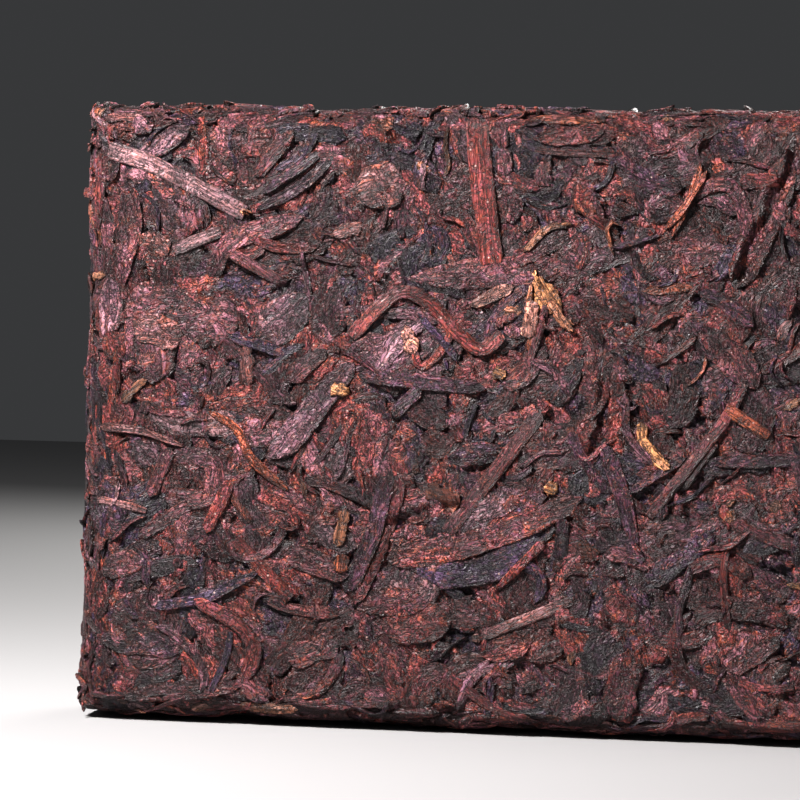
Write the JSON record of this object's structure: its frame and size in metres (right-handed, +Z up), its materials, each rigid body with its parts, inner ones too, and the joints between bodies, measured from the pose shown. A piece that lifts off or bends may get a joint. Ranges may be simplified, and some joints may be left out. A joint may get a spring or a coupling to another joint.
{
  "type": "pressed tea brick",
  "caption": "Rectangular block of compressed dark tea leaf with flat broad faces, softly rolled edges and an uneven leafy surface, standing on a long narrow side.",
  "frame": {"origin": "middle of the base, on the surface that the brick stands on", "axes": "+Z up, X along the brick's length, Y through its thickness with the front broad face towards -Y"},
  "size_m": [0.14, 0.028, 0.092],
  "materials": {
    "pressed_leaf": "dark pressed tea leaf, matte with a faint dry sheen"
  },
  "bodies": {
    "root": {"tea_brick": "pressed_leaf"}
  },
  "joints": []
}
